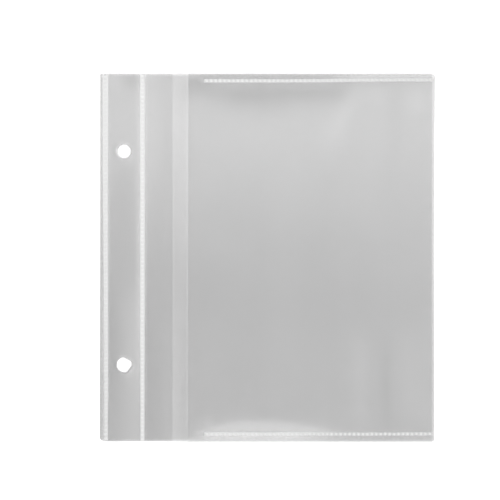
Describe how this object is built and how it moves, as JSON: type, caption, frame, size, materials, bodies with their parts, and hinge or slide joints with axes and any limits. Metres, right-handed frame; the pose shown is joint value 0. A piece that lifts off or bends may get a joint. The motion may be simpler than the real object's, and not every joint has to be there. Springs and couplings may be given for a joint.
{
  "type": "recipe card protector",
  "caption": "Flat film pocket for a recipe card, with a punched binding strip that hinges at a welded seam and a tuck flap that closes the open side.",
  "frame": {"origin": "middle of the sheet, on the surface that it lies on", "axes": "+X from the binding edge to the folded edge, +Y up the page, +Z from the back sheet towards the reader"},
  "size_m": [0.1484, 0.1634, 0.0009],
  "materials": {
    "grey_film": "soft gloss, grey through the film",
    "clear_film": "soft gloss, clear with a slight haze",
    "weld": "frosted by the sealing wheel"
  },
  "bodies": {
    "binding_strip": {"strip_back_film": "grey_film", "strip_front_film": "clear_film", "edge_weld": "weld", "seam_weld": "weld"},
    "page": {"back_film": "grey_film", "front_film": "clear_film", "right_fold": "clear_film", "top_weld": "weld", "bottom_weld": "weld"},
    "tuck_flap": {"tuck_flap": "clear_film"},
    "pocket_lip": {"pocket_lip": "clear_film"}
  },
  "joints": [
    {"name": "page_turn", "type": "hinge", "parent": "binding_strip", "child": "page", "pos_m": [-0.0545, 0, 0.00015], "axis": [0, -1, 0], "range_deg": [0, 90]},
    {"name": "flap_lift", "type": "hinge", "parent": "page", "child": "tuck_flap", "pos_m": [-0.05425, 0, 0.00025], "axis": [0, -1, 0], "range_deg": [0, 80]},
    {"name": "lip_lift", "type": "hinge", "parent": "page", "child": "pocket_lip", "pos_m": [-0.02845, 0, 0.00045], "axis": [0, 1, 0], "range_deg": [0, 40]}
  ],
  "couplings": [
    {"joint": "lip_lift", "follows": "flap_lift", "ratio": 0.5}
  ]
}
